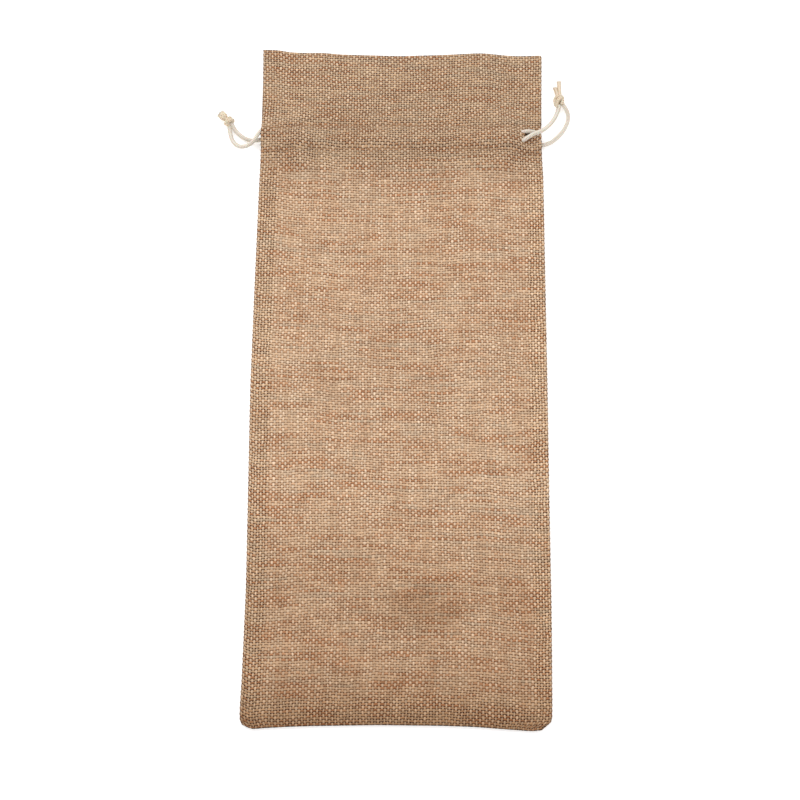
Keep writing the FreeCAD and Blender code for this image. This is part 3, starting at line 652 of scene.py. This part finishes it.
def tube(points, radius, sides=20):
    """A round tube along points.  u counts turns round it and v its length in mm."""
    points = np.asarray(points, float)
    radius = np.broadcast_to(radius, len(points)).astype(float)
    ahead = np.gradient(points, axis=0)
    ahead /= np.linalg.norm(ahead, axis=1)[:, None]
    normal = np.cross(ahead[0], [0.0, 0.0, 1.0])
    if np.linalg.norm(normal) < 1e-3:
        normal = np.cross(ahead[0], [0.0, 1.0, 0.0])
    rings, uvs = [], []
    run = np.concatenate([[0], np.cumsum(np.linalg.norm(np.diff(points, axis=0), axis=1))])
    angle = np.linspace(0, 2 * np.pi, sides, endpoint=False)
    for k, (p, d) in enumerate(zip(points, ahead)):
        normal = normal - d * normal.dot(d)
        normal /= np.linalg.norm(normal)
        across = np.cross(d, normal)
        ring = p + radius[k] * (np.cos(angle)[:, None] * normal + np.sin(angle)[:, None] * across)
        rings.append(ring)
        uvs.append(np.stack([angle / (2 * np.pi), np.full(sides, run[k])], -1))
    verts = np.concatenate(rings)
    n = len(points)
    faces = []
    for r in range(n - 1):
        for c in range(sides):
            d = (c + 1) % sides
            faces.append([r * sides + c, r * sides + d, (r + 1) * sides + d, (r + 1) * sides + c])
    faces.append(list(range(sides))[::-1])
    faces.append([(n - 1) * sides + c for c in range(sides)])
    return verts, faces, np.concatenate(uvs)


def join_parts(name, parts):
    """One mesh object from several tubes."""
    verts, faces, uvs, count = [], [], [], 0
    for v, f, t in parts:
        verts.append(v)
        uvs.append(t)
        faces += [[q + count for q in face] for face in f]
        count += len(v)
    return new_mesh(name, np.concatenate(verts), faces, np.concatenate(uvs))


def cord_material(name, pale, dark):
    """Soft white cotton cord, plaited in fine slanting strands."""
    n = Nodes(name)
    m = n.math
    u, v = n.uv()
    lean = m("MULTIPLY", v, 1.25)
    a = m("SINE", m("MULTIPLY", m("ADD", m("MULTIPLY", u, 2.0), lean), 2 * math.pi))
    b = m("SINE", m("MULTIPLY", m("SUBTRACT", m("MULTIPLY", u, 2.0), lean), 2 * math.pi))
    plait = m("MAXIMUM", a, b)
    place = n.tree.nodes.new("ShaderNodeTexCoord").outputs["Object"]
    fuzz = n.noise(place, 2600.0, 3.0, 0.7)
    broad = n.noise(place, 160.0, 2.0)
    # the plait's grooves are drawn darker as painted shade; the broad patches are a random tone and
    # the fuzz is the fibres' own colour
    color = n.mix(n.ramp(plait, -0.3, 0.6), dark, pale)
    color = n.mix(n.ramp(broad, 0.4, 0.7, 0.0, 0.25), color, dark)
    color = n.mix(n.ramp(fuzz, 0.3, 0.6, 0.12, 0.0), color, srgb(190, 175, 150))
    height = m("ADD", m("MULTIPLY", plait, 0.5), m("MULTIPLY", fuzz, 0.5))
    return n.finish(color, 0.85, height, 0.00012, 0.8, sheen=0.15, subsurface=0.1)


def turned(points, heading, centre):
    """Points given as (across, along, up) from a knot, placed with along pointing to heading."""
    a = math.radians(heading)
    p = np.asarray(points, float)
    return np.stack([
        centre[0] + p[:, 0] * math.sin(a) + p[:, 1] * math.cos(a),
        centre[1] - p[:, 0] * math.cos(a) + p[:, 1] * math.sin(a),
        centre[2] + p[:, 2],
    ], -1)


def fray(centre, heading, start, length, spread, count, seed):
    """Loose fibres of an unsealed cord end."""
    dice = np.random.default_rng(seed)
    parts = []
    for _ in range(count):
        around, out = dice.uniform(0, 2 * np.pi), dice.uniform(0.1, 0.9)
        a, b = out * np.cos(around), out * np.sin(around) * 0.8
        long = length * dice.uniform(0.65, 1.1)
        flare = dice.uniform(0.5, 1.0) * spread
        bend = dice.normal(0, 0.18, 2)
        line = [(start[0] + a, start[1] - 0.5, start[2] + b),
                (start[0] + a * (1 + 0.4 * flare) + bend[0], start[1] + long * 0.5,
                 start[2] + b * (1 + 0.3 * flare)),
                (start[0] + a * (1 + flare) + bend[0] * 2, start[1] + long,
                 start[2] + b * (1 + 0.7 * flare) + bend[1])]
        line = turned(line, heading, centre)
        line[:, 2] = np.maximum(line[:, 2], 0.12)
        parts.append(tube(line, [0.10, 0.08, 0.03], 5))
    return parts


cloth = cloth_material("jute_cloth", 1.03)
cord_mat = cord_material("cord", srgb(231, 223, 211), srgb(190, 177, 158))
# the knots and their tails use a darker, warmer copy of the cord: painted shade among the wraps
shaded_knot_mat = cord_material("knotted_cord_shaded", srgb(232, 217, 195), srgb(184, 160, 130))

CORD_STEP, KNOT_STEP = 0.3, 0.25         # mm between a tube's rings
WRAP_RADIUS, KNOT_SIDES, FIBRES = 0.95, 18, 90
cord_lines = {"left": spline_points("left_line", LEFT_ROUTE, CORD_STEP),
              "right": spline_points("right_line", RIGHT_ROUTE, CORD_STEP)}
front = build_front()
front.data.materials.append(cloth)
back = build_back()
back.data.materials.append(cloth)

pieces = {}
for side, line in cord_lines.items():
    cord = join_parts(side + "_cord", [tube(line, CORD_RADIUS)])
    cord.data.materials.append(cord_mat)
    pieces[side] = (cord, line)

# each knot: centre, heading of its tails in degrees, and how a tail's radius changes along it;
# then its wraps, tails and frayed ends, as (across, along, up) from the centre in mm
KNOTS = {
    "left": dict(
        centre=(-89.0, 133.6, 2.75), heading=134,
        tail_radius=([0, 0.4, 0.7, 1.0], [0.85, 0.65, 1.4, 1.2]),
        wraps=[[(0.5, -0.9, -1.2), (1.7, -1.2, -0.5), (2.0, -0.9, 0.7), (0.8, -0.6, 1.7),
                (-0.8, -0.2, 1.7), (-2.0, 0.2, 0.6), (-1.9, 0.4, -0.7), (-0.4, 0.5, -1.5),
                (1.3, 0.6, -1.0), (1.95, 0.8, 0.3), (0.9, 0.9, 1.5), (-0.5, 0.5, 1.6),
                (-1.6, -0.6, 1.2), (-1.8, -1.4, 0.1), (-0.7, -1.5, -1.1)]],
        tails=[[(0.3, -0.8, 0.2), (0.35, 1.2, -0.2), (0.5, 2.3, -0.7), (0.7, 3.7, -0.3),
                (0.8, 5.0, -0.3), (0.7, 6.2, -0.6)],
               [(-0.3, -0.8, -0.1), (-0.35, 1.2, -0.3), (-0.5, 2.3, -0.8), (-0.7, 3.6, -0.4),
                (-0.9, 4.8, -0.4), (-0.9, 5.9, -0.7)],
               [(0.0, 2.0, -0.6), (0.0, 3.6, 0.1), (0.0, 4.8, 0.1), (-0.1, 6.0, -0.3)]],
        frays=[((0.8, 5.7, -0.4), 1.4, 0.6), ((-0.8, 5.5, -0.5), 1.4, 0.6),
               ((0.0, 5.5, 0.1), 1.4, 0.7)]),
    "right": dict(
        centre=(81.7, 146.6, 2.8), heading=92,
        tail_radius=([0, 1], [0.86, 1.08]),
        wraps=[[(1.7, 1.0, -1.0), (2.2, 1.9, 0.1), (0.6, 2.4, 1.0), (-1.2, 1.9, 1.0),
                (-2.0, 0.9, 0.5), (-2.0, -0.5, 0.5), (-1.9, -1.8, 0.4), (-1.2, -2.8, 0.1),
                (-0.4, -2.4, -0.8)],
               [(-1.3, -2.4, -0.3), (-1.3, -1.4, 0.9), (-0.5, 0.0, 1.7), (0.5, 1.0, 1.6),
                (1.5, 1.7, 0.6), (1.2, 1.2, -0.9)],
               [(1.5, 1.2, -0.6), (2.1, 0.3, 0.3), (1.7, -0.9, 0.6), (1.4, -2.0, 0.2)],
               [(-0.6, -1.8, -0.8), (-0.3, 0.0, -0.6), (0.1, 1.8, -0.4)],
               [(0.5, -1.4, -0.9), (0.8, 1.0, -0.7)]],
        tails=[[(0.6, -0.2, 0.1), (0.7, 3.0, 0.1), (0.6, 6.0, -0.7), (0.7, 9.0, -1.2),
                (0.8, 11.3, -1.5)],
               [(-0.5, 0.2, 0.0), (-0.7, 3.0, 0.0), (-0.8, 4.8, -0.5), (-1.2, 6.5, -0.8),
                (-1.5, 7.6, -0.9)]],
        frays=[((0.8, 11.0, -1.5), 0.9, 0.2), ((-1.5, 7.4, -0.9), 0.8, 0.2)]),
}
knots = {}
for side, k in KNOTS.items():
    parts = []
    for wrap in k["wraps"]:
        line = spline_points("wrap", turned(wrap, k["heading"], k["centre"]), KNOT_STEP)
        parts.append(tube(line, WRAP_RADIUS, KNOT_SIDES))
    for tail in k["tails"]:
        line = spline_points("tail", turned(tail, k["heading"], k["centre"]), KNOT_STEP)
        radius = np.interp(np.linspace(0, 1, len(line)), *k["tail_radius"])
        parts.append(tube(line, radius, KNOT_SIDES))
    for number, (start, length, spread) in enumerate(k["frays"]):
        parts += fray(k["centre"], k["heading"], start, length, spread, FIBRES, 11 + number)
    knot = join_parts(side + "_knot", parts)
    knot.data.materials.append(shaded_knot_mat)
    knots[side] = knot


# ---------------------------------------------------------------- stitches
def thread_material():
    """Twisted sewing thread in the colour of the cloth."""
    n = Nodes("thread")
    m = n.math
    u, v = n.uv()
    turns = m("ADD", m("MULTIPLY", u, 2.0), m("MULTIPLY", v, 2.2))
    twist = m("SINE", m("MULTIPLY", turns, 2 * math.pi))
    # the twist's grooves are drawn darker: painted shade
    color = n.mix(n.ramp(twist, -0.8, 0.6), srgb(140, 102, 72), srgb(190, 152, 118))
    return n.finish(color, 0.7, twist, 0.00006, 0.7, sheen=0.1)


thread_mat = thread_material()


def stitches(name, runs, radius=0.2, long=2.5, pitch=3.1):
    """Separate stitches along runs of points (in mm); on the front each dips into the cloth at its
    ends.
    """
    parts = []
    for run in runs:
        run = np.asarray(run, float)
        along = np.concatenate([[0], np.cumsum(np.linalg.norm(np.diff(run, axis=0), axis=1))])
        count = int(along[-1] // pitch)
        step = along[-1] / count
        for k in range(count):
            gap = (step - long) / 2
            at = np.linspace(k * step + gap, (k + 1) * step - gap, 5)
            line = np.stack([np.interp(at, along, run[:, q]) for q in range(3)], -1)
            if name.startswith("front"):
                line[:, 2] += [-0.16, 0.02, 0.07, 0.02, -0.16]
            thick = [radius * 0.8, radius, radius, radius, radius * 0.8]
            parts.append(tube(line, thick, 8))
    made = join_parts(name, parts)
    made.data.materials.append(thread_mat)
    return made


def row_on_front(y, start, end):
    """A casing row's line on the front panel, from one x to another."""
    x = np.arange(start, end, 0.5)
    wave = 0.5 * np.sin(x * 0.045 + (y + TOP) / (2 * TOP) * 9.0) * 0.3
    yy = y + wave
    z = over_cords(x, yy, front_height(x, yy)) + 0.1
    return [np.stack([x, yy, z], -1)]


def side_run(table, inward, low, high):
    """A side seam's line between the panels, from one y to another."""
    y = np.arange(low, high, 1.0)
    return np.stack([curve_at(table, y, 5.5) + inward, y, np.full(len(y), SEAM_HEIGHT)], -1)


def row_on_back(y, half):
    """A casing row's straight line on the back panel."""
    return np.array([(-half, y, BACK_ROW_HEIGHT), (half, y, BACK_ROW_HEIGHT)])


SEAM_HEIGHT, BACK_ROW_HEIGHT, SEAM_INSET = 1.0, 0.21, 1.1
SEAM_BREAK = (118.6, 130.8)      # the side seams leave the casing's ends open
base_x = np.arange(-65, 66, 1.0)
base_run = np.stack([base_x, curve_at(BASE_EDGE, base_x, 3.0) + SEAM_INSET,
                     np.full(len(base_x), SEAM_HEIGHT)], -1)
THREADS = {
    "front_casing_lower_stitches": row_on_front(LOWER_ROW, -71.0, 71.2),
    "front_casing_upper_stitches": row_on_front(UPPER_ROW, -71.0, 59.4),
    "back_casing_lower_stitches": [row_on_back(LOWER_ROW, 71.5)],
    "back_casing_upper_stitches": [row_on_back(UPPER_ROW, 71.3)],
    "left_seam_stitches": [side_run(LEFT_EDGE, SEAM_INSET, -164.5, SEAM_BREAK[0]),
                           side_run(LEFT_EDGE, SEAM_INSET, SEAM_BREAK[1], 171)],
    "right_seam_stitches": [side_run(RIGHT_EDGE, -SEAM_INSET, -166.5, SEAM_BREAK[0]),
                            side_run(RIGHT_EDGE, -SEAM_INSET, SEAM_BREAK[1], 170.5)],
    "bottom_seam_stitches": [base_run],
}
thread_rows = {name: stitches(name + "_sewn", runs) for name, runs in THREADS.items()}

# ---------------------------------------------------------------- floor and light
floor_mesh = bpy.data.meshes.new("floor")
FLOOR_HALF, FLOOR_LEVEL = 9, -0.0002     # m
corners = [(-1, -1), (1, -1), (1, 1), (-1, 1)]
floor_mesh.from_pydata([(a * FLOOR_HALF, b * FLOOR_HALF, FLOOR_LEVEL) for a, b in corners],
                       [], [(0, 1, 2, 3)])
floor = bpy.data.objects.new("floor", floor_mesh)
bpy.context.scene.collection.objects.link(floor)
floor_mat = bpy.data.materials.new("floor")
floor_mat.use_nodes = True
floor_inputs = floor_mat.node_tree.nodes["Principled BSDF"].inputs
floor_inputs["Base Color"].default_value = (0.92, 0.92, 0.92, 1)
floor_inputs["Roughness"].default_value = 0.8
floor_inputs["Emission Color"].default_value = (1, 1, 1, 1)
floor_inputs["Emission Strength"].default_value = 0.3     # a white floor with faint shadows
floor.data.materials.append(floor_mat)

world = bpy.data.worlds.new("world")
bpy.context.scene.world = world
world.use_nodes = True
world_inputs = world.node_tree.nodes["Background"].inputs
world_inputs["Color"].default_value = (1, 1, 1, 1)
world_inputs["Strength"].default_value = 0.92


def area_light(name, place, aim, size, power):
    """A rectangular light at a place, turned to its aim."""
    data = bpy.data.lights.new(name, "AREA")
    data.shape = "RECTANGLE"
    data.size, data.size_y = size
    data.energy = power
    obj = bpy.data.objects.new(name, data)
    bpy.context.scene.collection.objects.link(obj)
    obj.location = place
    obj.rotation_euler = (Vector(aim) - Vector(place)).to_track_quat("-Z", "Y").to_euler()


area_light("key", (-0.6, 1.2, 1.4), (0, 0, 0), (1.5, 1.5), 15)
area_light("fill", (0.9, -0.9, 1.6), (0, 0, 0), (1.8, 1.8), 3)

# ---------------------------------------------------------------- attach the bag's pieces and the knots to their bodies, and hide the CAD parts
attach(front, "bag")
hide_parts("front_panel")
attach(back, "bag")
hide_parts("back_panel")
# each cord is baked in place, and its knot goes to its pull
for side in ("left", "right"):
    cord, line = pieces[side]
    body = side + "_pull"
    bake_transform(cord)
    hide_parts(side + "_drawstring")
    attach(knots[side], body)
    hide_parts(side + "_drawstring_knot")

for name, row in thread_rows.items():
    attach(row, "bag")
    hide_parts(name)
